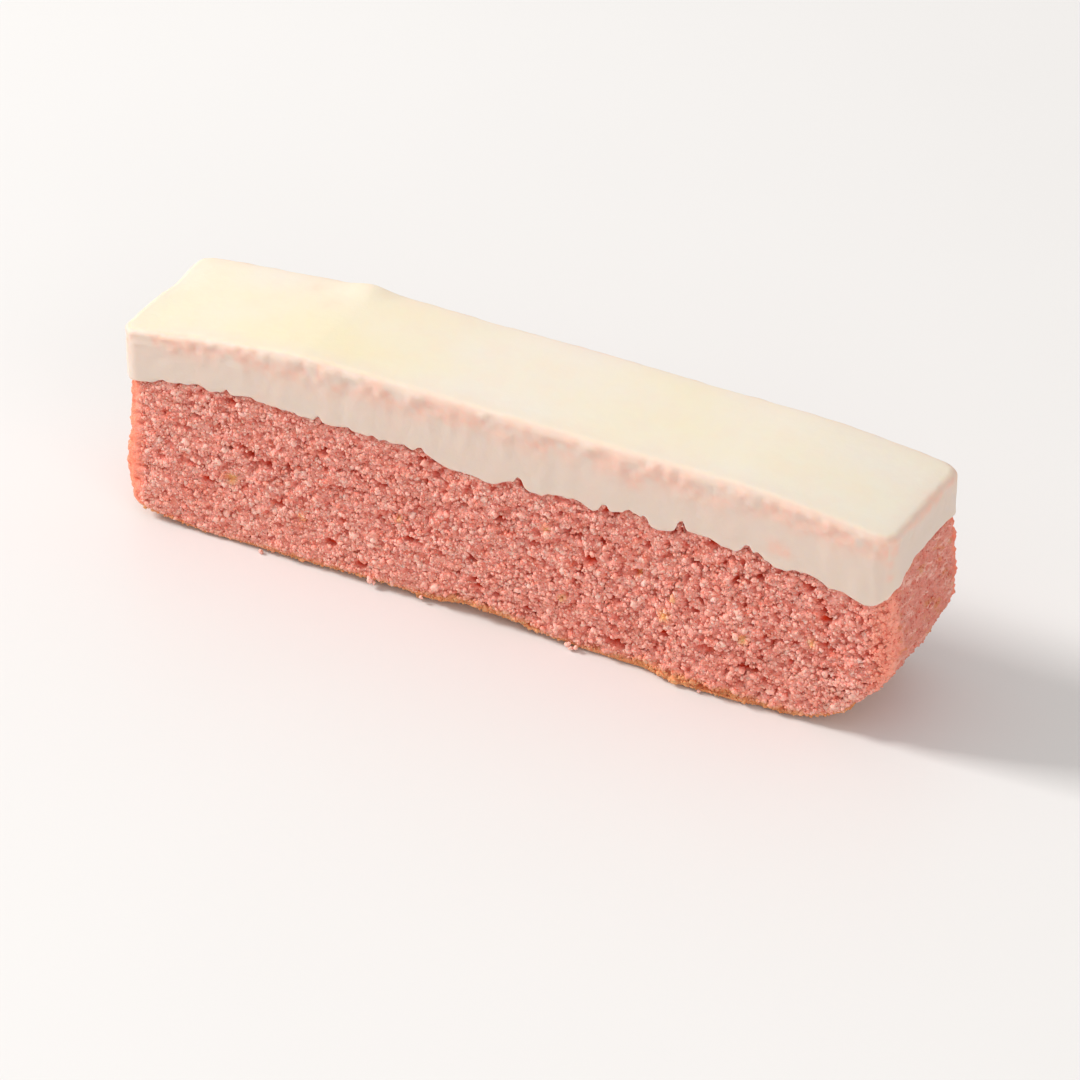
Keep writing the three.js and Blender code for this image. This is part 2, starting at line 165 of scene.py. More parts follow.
# Height of the golden crust at the foot of the long sides: (place along X, height).
CRUST = [
    (-58, 1.3), (-45, 1.0), (-30, 1.3), (-22, 1.1), (-12, 1.3), (-6, 2.0), (4, 1.9), (10, 1.2),
    (18, 1.5), (25, 2.4), (36, 2.2), (43, 1.7), (58, 1.4),
]
CRUST_RAGGED = [(1.3, 0.35, 61), (0.6, 0.2, 62)]
CRUST_SOFT, CRUST_SHIFT = 1.3, 0.2  # height over which it fades, and how far past its line
CRUST_ARCH, CRUST_OVER = 0.7, 0.6  # how far it follows the arch, and hides what is under it
UNDER_FACING = 0.4  # downward facing at which the crust is full
END_FACING, END_BLEND = 0.75, 0.2  # facing from which a skin counts as an end
SKIN_SHADE = 0.3  # painted shade: how red the skin between the grains, which they shade, is against a pore
PORE_FULL, PORE_POWER, PALE_POWER = 0.75, 0.8, 1.2  # how the painted shade and paleness turn into marks
BOUNCE_HEIGHT, BOUNCE_SHARE = 13, 0.35  # painted bounce light: the crumb is brighter towards the foot, where the floor's light falls
LIT_CORNER_SHARE = 0.75  # and painted light at the near right corner
CORNER_STRIP, CORNER_FADE = 3.0, 1.4  # width of the smoother strip at each upright corner
CORNER_GLOW = dict(left=0.95, near_right=0.45, far_right=0.85)  # painted glow of the lit upright edges: how coral the strips are
CORNER_SMOOTH = dict(left=0.75, right=0.3)  # how much smoother they are
CORNER_DOMES = 0.6  # share of that by which their domes are lower


def ease(t):
    """Smooth step: 3t^2 - 2t^3 from 0 to 1, and held beyond."""
    t = np.clip(t, 0, 1)
    return t * t * (3 - 2 * t)


def along(knots, place):
    """Value of a knotted line at each place, eased from knot to knot."""
    at, value = np.array(knots, float).T
    place = np.clip(place, at[0], at[-1])
    after = np.clip(np.searchsorted(at, place), 1, len(at) - 1)
    share = ease((place - at[after - 1]) / (at[after] - at[after - 1]))
    return value[after - 1] * (1 - share) + value[after] * share


def cell_number(cell, seed):
    """A repeatable number from 0 to 1 for each whole-numbered cell, by mixing the bits of i, j, k."""
    i, j, k = np.moveaxis(cell.astype(np.int64).astype(np.uint32), -1, 0)
    mixed = i * np.uint32(374761393) ^ j * np.uint32(668265263) ^ k * np.uint32(2147483647)
    mixed = (mixed ^ (mixed >> 13) ^ np.uint32(seed)) * np.uint32(1274126177)
    return (mixed ^ (mixed >> 16)) / 4294967295.0


def smooth_noise(points, size, seed):
    """Noise from -1 to 1: the numbers of the eight nearest cells, blended by eased distance.
    size is the cells' size, one number or one along each axis."""
    scaled = points / np.array(size, float)
    base = np.floor(scaled)
    part = ease(scaled - base)
    total = np.zeros(len(points))
    for corner in itertools.product((0, 1), repeat=3):
        share = np.prod(np.where(corner, part, 1 - part), axis=1)
        total += share * cell_number(base + corner, seed)
    return 2 * total - 1


def layered_noise(points, layers):
    """Sum of layers of noise. Each layer is its cells' size, its share and its seed."""
    return sum(share * smooth_noise(points, size, seed) for size, share, seed in layers)


def nearest_seed(points, size, seed):
    """Cellular pattern: distance, in cells, to the nearest of one jittered seed for each cell,
    and that seed's own number from 0 to 1."""
    scaled = points / size
    base = np.floor(scaled)
    nearest = np.full(len(points), np.inf)
    number = np.zeros(len(points))
    for offset in itertools.product((-1, 0, 1), repeat=3):
        cell = base + offset
        middle = cell + np.stack([cell_number(cell, seed + more) for more in JITTER_SEEDS], 1)
        distance = np.linalg.norm(scaled - middle, axis=1)
        closer = distance < nearest
        nearest = np.where(closer, distance, nearest)
        number = np.where(closer, cell_number(cell, seed), number)
    return nearest, number


def edge_height(x, y):
    """Height of the coating's lower edge at points of the full-size outline: the knotted border,
    made ragged by noise, and raised at the notches by a bell of each notch's width."""
    at_end = np.abs(x) >= ON_SIDE * HALF_LENGTH
    sides = np.where(y < 0, along(BORDER_FRONT, x), along(BORDER_BACK, x))
    ends = np.where(x > 0, along(BORDER_RIGHT, y), along(BORDER_LEFT, y))
    ragged = layered_noise(np.stack([x, y, np.zeros_like(x)], 1), RAGGED)
    height = np.where(at_end, ends + RAGGED_END * ragged, sides + RAGGED_LONG * ragged)
    for notches, side in ((NOTCHES_FRONT, -1), (NOTCHES_BACK, 1)):
        for notch_x, rise, half_width in notches:
            bell = rise * np.exp(-(((x - notch_x) / (half_width + NOTCH_ROUND)) ** 4))
            height += np.where(y * side > ON_SIDE * HALF_WIDTH, bell, 0)
    return height


TINY = 1e-6  # keeps a divisor away from zero
DIAGONAL = 0.7071  # part of a facing along an axis from which it is turned 45 degrees
UPRIGHT = 0.7  # upward part of a facing below which the skin is a side


def to_outline(points, facing):
    """The full-size outline's place next to each point of a side: its own x or y, and the side's."""
    on_long = np.abs(facing[:, 1]) > DIAGONAL
    x = np.where(on_long, points[:, 0], np.sign(points[:, 0]) * HALF_LENGTH)
    y = np.where(on_long, np.sign(points[:, 1]) * HALF_WIDTH, points[:, 1])
    return x, y


def corner_share(points, facing):
    """How near a point of a side is to an upright corner: 1 on the corner, fading to 0 at
    CORNER_FADE widths of the smoother strip from it, along the side or across the end."""
    along_side = (HALF_LENGTH - np.abs(points[:, 0])) / CORNER_STRIP
    across_end = (HALF_WIDTH - np.abs(points[:, 1])) / CORNER_STRIP
    upright = np.abs(facing[:, 2]) < UPRIGHT
    return ease(CORNER_FADE - np.maximum(along_side, across_end)) * upright


def dome(distance):
    """Height of a unit dome at a distance from its middle: the root of 1 - d^2."""
    return np.sqrt(np.clip(1 - distance ** 2, 0, 1))


def crumb_relief(points, facing):
    """Relief of the crumb along its facing, its painted shade, and how pale its cluster is. The
    relief is crags, plus a dome for each cluster and grain about its own seed, plus creases, plus
    the baked layers on the ends, less the pores. It lies deeper behind the coating's lip and fades
    out at the foot. The painted shade is dark red, deepest in the pores, and also in the hollows
    between grains and under the lip. The paleness is the cluster's own tone, with painted light
    that makes it paler towards the tops of the domes."""
    strip = np.where(points[:, 0] < 0, CORNER_SMOOTH["left"], CORNER_SMOOTH["right"])
    smoother = strip * corner_share(points, facing)
    long_side = ease((np.abs(facing[:, 1]) - LONG_FACING) / LONG_BLEND) * (1 - smoother)
    depth = CRAG_DEPTH_END + (CRAG_DEPTH_LONG - CRAG_DEPTH_END) * long_side
    bent = points
    for size, reach, seed in WARPS:
        warp = [smooth_noise(points, size, seed + axis) for axis in range(3)]
        bent = bent + reach * np.stack(warp, 1)
    bent = bent / LYING
    cluster, pale = nearest_seed(bent, CLUSTER["size"], CLUSTER["seed"])
    grain, _ = nearest_seed(bent, GRAIN["size"], GRAIN["seed"])
    coarse = 1 + COARSER_RIGHT * np.clip(points[:, 0] / HALF_LENGTH, -1, 1)
    coarse = coarse * (1 + layered_noise(points, COARSER_PATCHES))
    rough = (ROUGH_END + (1 - ROUGH_END) * long_side) * coarse * (1 - CORNER_DOMES * smoother)
    cluster_height = CLUSTER["height"] * (CLUSTER_LEAST + CLUSTER_PALER * pale)
    domes = cluster_height * (dome(cluster / CLUSTER["reach"]) - DOME_LEVEL)
    domes += GRAIN["height"] * (dome(grain / GRAIN["reach"]) - DOME_LEVEL)
    for size, height, seed in CREASES:
        crease = np.abs(smooth_noise(points, size * LYING, seed)) ** CREASE_POWER
        domes += height * (2 * crease - 1)
    cavity = np.clip(-domes / CAVITY_DEPTH, 0, 1) * rough
    relief = depth * layered_noise(points, CRAGS) + rough * domes
    relief += LAYER_HEIGHT * (1 - long_side) * layered_noise(points, LAYERS)
    below_edge = edge_height(*to_outline(points, facing)) - points[:, 2]
    under_edge = ease(1 - below_edge / RECESS_HEIGHT)
    relief = relief * (1 - RECESS_SMOOTHER * under_edge) - RECESS * under_edge

    pore = np.zeros(len(points))
    for spacing, wide, high, share, radius, deepest in PORES:
        seed = int(spacing * 100)
        stretch = np.array([wide, PORE_STRETCH_Y, high])
        away, number = nearest_seed(points, spacing * stretch, seed)
        reach = radius * np.clip((number - 1 + share) / share, PORE_LEAST, 1) ** 0.5
        pore = np.maximum(pore, deepest * rough * dome(away / reach))
    wander = layered_noise(points, PORE_WANDER)
    for x, z, half_length, half_height, deepest in PITS_FRONT:
        away = np.hypot((points[:, 0] - x) / half_length, (points[:, 2] - z) / half_height)
        pit = deepest * dome(away + wander)
        pore = np.maximum(pore, np.where(points[:, 1] < 0, pit * long_side, 0))
    foot = ease(points[:, 2] / FOOT_FADE)
    # Painted light: the crumb is paler towards the tops of the domes.
    height = ease(0.5 + PAINTED_TOP_LIGHT * domes)
    # Painted shade: dark red in the pores, in the hollows between grains, and under the coating's lip.
    dark = np.maximum(pore, CAVITY_SHADE * cavity) + RECESS_SHADE * under_edge * long_side
    return foot * (relief - pore), foot * dark, pale * height


def corner_reach(s, t, q):
    """How far a corner rounded by radius q reaches from the inner corner of its unit square, towards
    the places (s, t): to the straight side, or to the arc about (1 - q, 1 - q)."""
    u, v = s / np.hypot(s, t), t / np.hypot(s, t)
    straight = 1 / np.maximum(u, v)
    middle = (1 - q) * (u + v)
    arc = middle + np.sqrt(np.maximum(0, middle ** 2 - 2 * (1 - q) ** 2 + q ** 2))
    return np.where(straight * np.minimum(u, v) <= 1 - q, straight, arc)


def baked(plain, inset, rough=None):
    """Points on the skin of the plain box, moved inwards by inset, become points of the baked stick.
    The edges are rounded by a radius about the box's core, rough adds relief along the facing, and
    the upright corners are rounded once more. Then the ends curve in under the foot, swell and
    lift, the long sides arch and bow, and the top sinks. Gives the points and which way the skin
    faced before that."""
    half = np.array([HALF_LENGTH, HALF_WIDTH, HEIGHT]) - inset
    radius = max(EDGE_RADIUS - inset, HIDDEN_RADIUS)
    core = np.clip(plain, [radius - half[0], radius - half[1], radius], half - radius)
    out = plain - core
    flat_reach = np.maximum(np.abs(out[:, 0]), np.abs(out[:, 2]))
    round_reach = np.hypot(out[:, 0], out[:, 2])
    reach = np.hypot(np.where(plain[:, 2] > HEIGHT / 2, round_reach, flat_reach), out[:, 1])
    out = out * (radius / np.maximum(reach, TINY))[:, None]
    facing = out / np.linalg.norm(out, axis=1, keepdims=True)
    p = core + out
    if rough is not None:
        p = p + facing * rough(p, facing)[:, None]
    x, y, z = p.T.copy()

    s = (np.abs(x) - HALF_LENGTH) / CORNER_RADIUS + 1
    t = (np.abs(y) - HALF_WIDTH) / CORNER_RADIUS + 1
    both = (s > 0) & (t > 0)
    s, t = np.maximum(s, TINY), np.maximum(t, TINY)
    pull = 1 / corner_reach(s, t, EDGE_RADIUS / CORNER_RADIUS)
    x = np.where(both, np.sign(x) * (HALF_LENGTH - CORNER_RADIUS * (1 - s * pull)), x)
    y = np.where(both, np.sign(y) * (HALF_WIDTH - CORNER_RADIUS * (1 - t * pull)), y)

    right = x > 0
    back = (y / HALF_WIDTH + 1) / 2

    def of_end(key):
        return np.where(right, RIGHT_END[key], LEFT_END[key])

    def of_corner(key):
        ends = [end[key][0] + (end[key][1] - end[key][0]) * back for end in (RIGHT_END, LEFT_END)]
        return np.where(right, *ends)

    under_length, under_height = of_corner("under_length"), of_corner("under_height")
    s = (np.abs(x) - HALF_LENGTH) / under_length + 1
    t = 1 - z / under_height
    both = (s > 0) & (t > 0)
    s, t = np.maximum(s, TINY), np.maximum(t, TINY)
    pull = np.maximum(s, t) / (s ** UNDER_POWER + t ** UNDER_POWER) ** (1 / UNDER_POWER)
    x = np.where(both, np.sign(x) * (HALF_LENGTH - under_length * (1 - s * pull)), x)
    z = np.where(both, under_height * (1 - t * pull), z)

    near_end = ease((np.abs(x) - HALF_LENGTH + SWELL_REACH) / SWELL_REACH)
    plump = 1 - SWELL_FLATTER * (y / HALF_WIDTH) ** 2
    bell = np.exp(-(((z - of_end("swell_height")) / SWELL_SPREAD) ** 2))
    x = x + np.sign(x) * of_end("swell") * plump * near_end * bell
    lift = np.maximum(0, (np.abs(x) - HALF_LENGTH + LIFT_LENGTH) / LIFT_LENGTH)
    z = z + of_end("lift") * lift ** LIFT_POWER * np.maximum(0, 1 - z / LIFT_FADE)

    outward = ease((np.abs(y) - ARCH_START) / (HALF_WIDTH - ARCH_START))
    arch = np.where(y < 0, along(ARCH_FRONT, x), along(ARCH_BACK, x))
    z = z + arch * outward * np.maximum(0, 1 - z / ARCH_FADE)
    bow = np.where(y < 0, along(BOW_FRONT, x), along(BOW_BACK, x))
    y = y + bow * np.maximum(0, 1 - z / BOW_FADE) * (y / HALF_WIDTH)

    sinks = (np.where(x > 0, *pair) for pair in zip(RIGHT_SINK, LEFT_SINK))
    start, front_depth, back_depth, power = sinks
    deepest = front_depth + (back_depth - front_depth) * (y / HALF_WIDTH + 1) / 2
    sunk = deepest * np.maximum(0, (np.abs(x) - start) / (HALF_LENGTH - start)) ** power
    for bump_x, bump_y, bump_height, spread in BUMPS:
        sunk -= bump_height * np.exp(-(np.hypot(x - bump_x, y - bump_y) / spread) ** 2)
    z = z - sunk * np.clip((z - SINK_FLOOR) / (HEIGHT - SINK_FLOOR), 0, 1)
    return np.stack([x, y, z], 1), facing


def outline(inset, along_steps, across_steps):
    """The stick's outline drawn in by inset, counter-clockwise from above, from the near left
    corner: even steps along the front, the right end, the back and the left end."""
    x = np.linspace(-1, 1, along_steps + 1) * (HALF_LENGTH - inset)
    y = np.linspace(-1, 1, across_steps + 1) * (HALF_WIDTH - inset)
    right, left = np.full(across_steps, x[-1]), np.full(across_steps, x[0])
    front, back = np.full(along_steps, y[0]), np.full(along_steps, y[-1])
    ring_x = np.concatenate([x[:-1], right, x[:0:-1], left])
    ring_y = np.concatenate([front, y[:-1], back, y[:0:-1]])
    return ring_x, ring_y


def full_size(ring_x, ring_y, inset):
    """Places of a drawn-in outline on the full-size one, so that every skin reads one edge line."""
    return ring_x * HALF_LENGTH / (HALF_LENGTH - inset), ring_y * HALF_WIDTH / (HALF_WIDTH - inset)


NO_QUADS, NO_TRIANGLES = np.zeros((0, 4), int), np.zeros((0, 3), int)


def band(lower, upper):
    """Quads between two rings of point numbers, facing outwards where the rings run
    counter-clockwise. Where the upper ring has a whole fraction of the points, triangles fan the
    extra points together, half to each side. Returns quads and triangles."""
    ratio = len(lower) // len(upper)
    if ratio == 1:
        return np.stack([lower, np.roll(lower, -1), np.roll(upper, -1), upper], 1), NO_TRIANGLES
    fine = np.append(lower, lower[0])
    here, there = upper, np.roll(upper, -1)
    first = np.arange(len(upper)) * ratio
    fans = [np.stack([fine[first + m], fine[first + m + 1], here if m < ratio // 2 else there], 1)
            for m in range(ratio)]
    fans.append(np.stack([fine[first + ratio // 2], there, here], 1))
    return NO_QUADS, np.concatenate(fans)


def cap(ring, first_inner, along_steps, across_steps):
    """Quads of the grid inside a ring, facing up. Inner points are numbered from first_inner,
    row by row along Y."""
    grid = np.zeros((along_steps + 1, across_steps + 1), int)
    grid[:-1, 0] = ring[:along_steps]
    grid[-1, :-1] = ring[along_steps:along_steps + across_steps]
    grid[:0:-1, -1] = ring[along_steps + across_steps:2 * along_steps + across_steps]
    grid[0, :0:-1] = ring[2 * along_steps + across_steps:]
    inner = (along_steps - 1) * (across_steps - 1)
    grid[1:-1, 1:-1] = first_inner + np.arange(inner).reshape(along_steps - 1, across_steps - 1)
    return np.stack([grid[:-1, :-1], grid[1:, :-1], grid[1:, 1:], grid[:-1, 1:]], -1).reshape(-1, 4)


def inner_places(inset, along_steps, across_steps):
    """Places inside the outline, on the grid that cap joins."""
    x = np.linspace(-1, 1, along_steps + 1)[1:-1] * (HALF_LENGTH - inset)
    y = np.linspace(-1, 1, across_steps + 1)[1:-1] * (HALF_WIDTH - inset)
    grid = np.meshgrid(x, y, indexing="ij")
    return grid[0].ravel(), grid[1].ravel()


class Skin:
    """A closed skin as it grows: points of the baked stick, their marks, and the faces between
    them. place(plain, inset, visible) gives the points for plain places, and their marks."""

    def __init__(self, place):
        self.place = place
        self.points, self.quads, self.triangles, self.marks, self.count = [], [], [], {}, 0

    def add(self, x, y, z, inset, visible=False):
        """Points at plain places. Gives their numbers."""
        plain = np.stack([x, y, np.broadcast_to(z, np.shape(x))], 1)
        placed, marks = self.place(plain, inset, visible)
        for mark, values in marks.items():
            self.marks.setdefault(mark, []).append(values)
        self.points.append(placed)
        self.count += len(placed)
        return np.arange(self.count - len(placed), self.count)

    def add_ring(self, inset, rise, steps, visible=False):
        """A ring that follows the coating's edge, at a rise above it. Gives its numbers."""
        ring_x, ring_y = outline(inset, *steps)
        edge = edge_height(*full_size(ring_x, ring_y, inset))
        return self.add(ring_x, ring_y, edge + rise, inset, visible)

    def join(self, lower, upper, inwards=False):
        """The band between two rings, facing outwards or inwards."""
        quads, triangles = band(lower, upper)
        self.quads.append(quads[:, ::-1] if inwards else quads)
        self.triangles.append(triangles[:, ::-1] if inwards else triangles)

    def close(self, ring, drawn_in, level, inset, steps, downwards=False, visible=False):
        """The cap inside a ring whose outline is drawn_in, facing up or down."""
        inner = self.add(*inner_places(drawn_in, *steps), level, inset, visible)
        quads = cap(ring, inner[0], *steps)
        self.quads.append(quads[:, ::-1] if downwards else quads)

    def tuck_in(self, last, rows, steps, inwards=False):
        """Hidden rows, each (height above the edge, inset), and a ceiling above them."""
        for rise, inset in rows:
            ring = self.add_ring(inset, rise, steps)
            self.join(last, ring, inwards)
            last = ring
        inset = rows[-1][1]
        ceiling = self.add(*outline(inset, *steps), HEIGHT - inset, inset)
        self.join(last, ceiling, inwards)
        self.close(ceiling, inset, HEIGHT - inset, inset, steps, inwards)

    def parts(self):
        """Its points, quads, triangles and marks."""
        whole = [np.concatenate(part) for part in (self.points, self.quads, self.triangles)]
        return *whole, {mark: np.concatenate(values) for mark, values in self.marks.items()}


def make_piece(name, points, quads, triangles, marks, material):
    """A smooth mesh object at the origin, in metres, with one number per point for each mark."""
    mesh = bpy.data.meshes.new(name)
    corners = np.concatenate([np.ravel(quads), np.ravel(triangles)]).astype(np.int32)
    sizes = np.concatenate([np.full(len(quads), 4), np.full(len(triangles), 3)])
    mesh.vertices.add(len(points))
    mesh.vertices.foreach_set("co", (points * 0.001).astype(np.float32).ravel())
    mesh.loops.add(len(corners))
    mesh.loops.foreach_set("vertex_index", corners)
    mesh.polygons.add(len(sizes))
    mesh.polygons.foreach_set("loop_start", (np.cumsum(sizes) - sizes).astype(np.int32))
    mesh.update(calc_edges=True)
    mesh.shade_smooth()
    for mark, values in marks.items():
        attribute = mesh.attributes.new(mark, "FLOAT", "POINT")
        attribute.data.foreach_set("value", np.asarray(values, np.float32))
    mesh.materials.append(material)
    piece = bpy.data.objects.new(name, mesh)
    bpy.context.scene.collection.objects.link(piece)
    return piece


def new_material(name):
    """A new material, its node tree, and its surface shader."""
    material = bpy.data.materials.new(name)
    material.use_nodes = True
    return material, material.node_tree, material.node_tree.nodes["Principled BSDF"]


def mark_value(tree, mark):
    """The value of one of the mesh's marks."""
    node = tree.nodes.new("ShaderNodeAttribute")
    node.attribute_name = mark
    return node.outputs["Fac"]


def noise_value(tree, size, detail, stretch=(1, 1, 1), low=0.0, high=1.0):
    """Noise on Object coordinates with cells of size mm, longer along an axis by its stretch. Its
    middle range, from 0.3 to 0.7, is spread over the range from low to high."""
    place = tree.nodes.new("ShaderNodeTexCoord")
    scale = tree.nodes.new("ShaderNodeMapping")
    scale.inputs["Scale"].default_value = [1000 / (size * share) for share in stretch]
    noise = tree.nodes.new("ShaderNodeTexNoise")
    noise.inputs["Scale"].default_value = 1
    noise.inputs["Detail"].default_value = detail
    spread = tree.nodes.new("ShaderNodeMapRange")
    spread.inputs["From Min"].default_value = 0.3
    spread.inputs["From Max"].default_value = 0.7
    spread.inputs["To Min"].default_value = low
    spread.inputs["To Max"].default_value = high
    tree.links.new(place.outputs["Object"], scale.inputs["Vector"])
    tree.links.new(scale.outputs["Vector"], noise.inputs["Vector"])
    tree.links.new(noise.outputs["Fac"], spread.inputs["Value"])
    return spread.outputs["Result"]


def product(tree, a, b):
    """Two values multiplied. Either may be a plain number."""
    node = tree.nodes.new("ShaderNodeMath")
    node.operation = "MULTIPLY"
    node.use_clamp = True
    for socket, value in zip(node.inputs, (a, b)):
        if isinstance(value, (int, float)):
            socket.default_value = value
        else:
            tree.links.new(value, socket)
    return node.outputs[0]


def over(tree, under, colour, share):
    """A colour laid over another: a plain (r, g, b) or a socket, by a share from 0 to 1."""
    node = tree.nodes.new("ShaderNodeMix")
    node.data_type = "RGBA"
    for socket, value in ((node.inputs[0], share), (node.inputs[6], under), (node.inputs[7], colour)):
        if isinstance(value, tuple):
            socket.default_value = (*value, 1)
        elif isinstance(value, (int, float)):
            socket.default_value = value
        else:
            tree.links.new(value, socket)
    return node.outputs[2]


def bump(tree, height, distance_mm, strength):
    """A normal from a height value from 0 to 1, which stands for a distance in mm."""
    node = tree.nodes.new("ShaderNodeBump")
    node.inputs["Strength"].default_value = strength
    node.inputs["Distance"].default_value = distance_mm * 0.001
    tree.links.new(height, node.inputs["Height"])
    return node.outputs["Normal"]


# Linear colours of the crumb, tuned until its render came near the photograph.
CRUMB = (0.99, 0.43, 0.35)
CRUMB_PALE = (1.0, 0.67, 0.575)
CRUMB_BRIGHT = (1.0, 0.56, 0.475)
CRUMB_DEEP = (0.80, 0.22, 0.145)
CRUMB_SHADE = (0.66, 0.10, 0.05)
# Painted bounce light, laid over the crumb towards the foot and at the near right corner.
PAINTED_BOUNCE = (1.0, 0.46, 0.36)
# Painted shade: the dark red laid in pores and hollows, under the coating's lip and at grain roots.
PORE_SHADE = (0.60, 0.042, 0.014)
# Painted glow of light through the upright edges, strongest at the left, where the key falls.
CORAL_GLOW = (1.0, 0.295, 0.19)
DUSTY = (0.66, 0.235, 0.185)
SPECK_GOLD = (0.95, 0.50, 0.20)
CRUST_GOLD = (0.86, 0.41, 0.20)
CRUST_BROWN = (0.64, 0.25, 0.105)


def crumb_material():
    """Moist pink crumb: pale and deep patches, painted dark red shade in pores and hollows, a painted
    coral glow at the upright edges, painted bounce light towards the foot, dustier ends, and a golden
    brown crust at the foot. Light passes a little way through it."""
    material, tree, surface = new_material("pink_crumb")
    pale, end_side = mark_value(tree, "pale"), mark_value(tree, "end")
    deep_patches = noise_value(tree, 2.0, 3, (1.3, 1, 0.8), low=-0.35, high=0.9)
    bright_patches = noise_value(tree, 0.95, 3, (1.2, 1, 0.8), low=-0.9, high=0.7)
    pale_grain = product(tree, pale, noise_value(tree, 0.5, 2, low=0.5, high=1.0))
    shade_specks = noise_value(tree, 0.34, 2, low=-1.0, high=0.5)
    bright_specks = noise_value(tree, 0.27, 2, low=-1.1, high=0.8)
    streaks = noise_value(tree, 1.0, 2, (3, 4, 0.5), low=-0.8, high=0.5)
    spots = noise_value(tree, 1.7, 2, (1, 1.6, 0.6), low=-1.5, high=0.7)
    crust = over(tree, CRUST_GOLD, CRUST_BROWN, noise_value(tree, 2.2, 4))
    colour = CRUMB
    for laid, share in (
        (CRUMB_DEEP, deep_patches), (CRUMB_BRIGHT, bright_patches), (CRUMB_PALE, pale_grain),
        (CRUMB_SHADE, shade_specks), (CRUMB_BRIGHT, bright_specks),
        (DUSTY, product(tree, end_side, 0.75)), (CRUMB_PALE, product(tree, end_side, streaks)),
        # painted bounce light towards the foot and at the near right corner, then brown spots on the
        # ends
        (PAINTED_BOUNCE, mark_value(tree, "painted_light")), (CRUST_BROWN, product(tree, end_side, spots)),
        # painted glow at the upright corners, then the crust
        (CORAL_GLOW, mark_value(tree, "corner")), (crust, mark_value(tree, "crust")),
        # painted shade in pores and hollows, under the lip and at grain roots, then golden specks
        (PORE_SHADE, mark_value(tree, "pore")), (SPECK_GOLD, mark_value(tree, "gold")),
    ):
        colour = over(tree, colour, laid, share)
    tree.links.new(colour, surface.inputs["Base Color"])
    fine = bump(tree, noise_value(tree, 0.28, 3), distance_mm=0.16, strength=0.55)
    tree.links.new(fine, surface.inputs["Normal"])
    surface.inputs["Roughness"].default_value = 0.45
    surface.inputs["IOR"].default_value = 1.42
    surface.inputs["Specular IOR Level"].default_value = 0.0
    surface.inputs["Subsurface Weight"].default_value = 0.3
    surface.inputs["Subsurface Radius"].default_value = (1.0, 0.25, 0.15)
    surface.inputs["Subsurface Scale"].default_value = 0.0004
    return material


def skin_marks(points, facing, pore, pale):
    """Marks of the crumb's skin, each from 0 to 1: its painted shade, most in a pore; how pale; how
    far in the crust; on an end; its painted glow at a corner; how golden; and its painted light,
    bounce towards the foot and at the near right corner. The crust covers the underside, and the
    sides up to its uneven knotted height."""
    x, y, z = points.T
    end_side = ease((np.abs(facing[:, 0]) - END_FACING) / END_BLEND)
    strip = corner_share(points, facing)
    # Painted glow at the upright corners: coral, strongest at the left, where the key light falls.
    right_glow = np.where(y < 0, CORNER_GLOW["near_right"], CORNER_GLOW["far_right"])
    corner = strip * np.where(x < 0, CORNER_GLOW["left"], right_glow)
    underside = ease(-facing[:, 2] / UNDER_FACING)
    arch = np.where(y < 0, along(ARCH_FRONT, x), along(ARCH_BACK, x))
    crust_top = along(CRUST, x) + CRUST_ARCH * arch + layered_noise(points, CRUST_RAGGED)
    crust = np.maximum(underside, ease((crust_top - z) / CRUST_SOFT + CRUST_SHIFT))
    gold = np.zeros(len(points))
    for speck_x, speck_z, radius in GOLD_FRONT:
        away = np.hypot(x - speck_x, z - speck_z) / radius
        gold = np.maximum(gold, np.where(y < 0, np.exp(-away ** 2), 0))
    # Painted light at the near right corner; painted bounce light towards the foot is added below.
    lit_corner = LIT_CORNER_SHARE * strip * (x > 0) * (y < 0)
    bare = 1 - CRUST_OVER * crust
    # Painted shade on the skin between the grains, which they shade, except on the ends and corners.
    skin_shade = SKIN_SHADE * (1 - end_side) * (1 - corner) * bare
    return {
        "pore": np.maximum(np.clip(pore / PORE_FULL, 0, 1) ** PORE_POWER, skin_shade),
        "pale": pale ** PALE_POWER,
        "crust": crust,
        "end": end_side,
        "corner": corner * bare,
        "gold": GOLD_SHARE * gold,
        "painted_light": np.maximum(BOUNCE_SHARE * ease((BOUNCE_HEIGHT - z) / BOUNCE_HEIGHT), lit_corner),
    }


def place_crumb(plain, inset, visible):
    """Points of the sponge's skin and their marks. A hidden one has neither relief nor pores."""
    kept = {}

    def rough(p, facing):
        kept["relief"], kept["pore"], kept["pale"] = crumb_relief(p, facing)
        return kept["relief"]

    points, facing = baked(plain, inset, rough if visible else None)
    plain_mark = np.zeros(len(points))
    pore, pale = kept.get("pore", plain_mark), kept.get("pale", plain_mark)
    return points, skin_marks(points, facing, pore, pale)


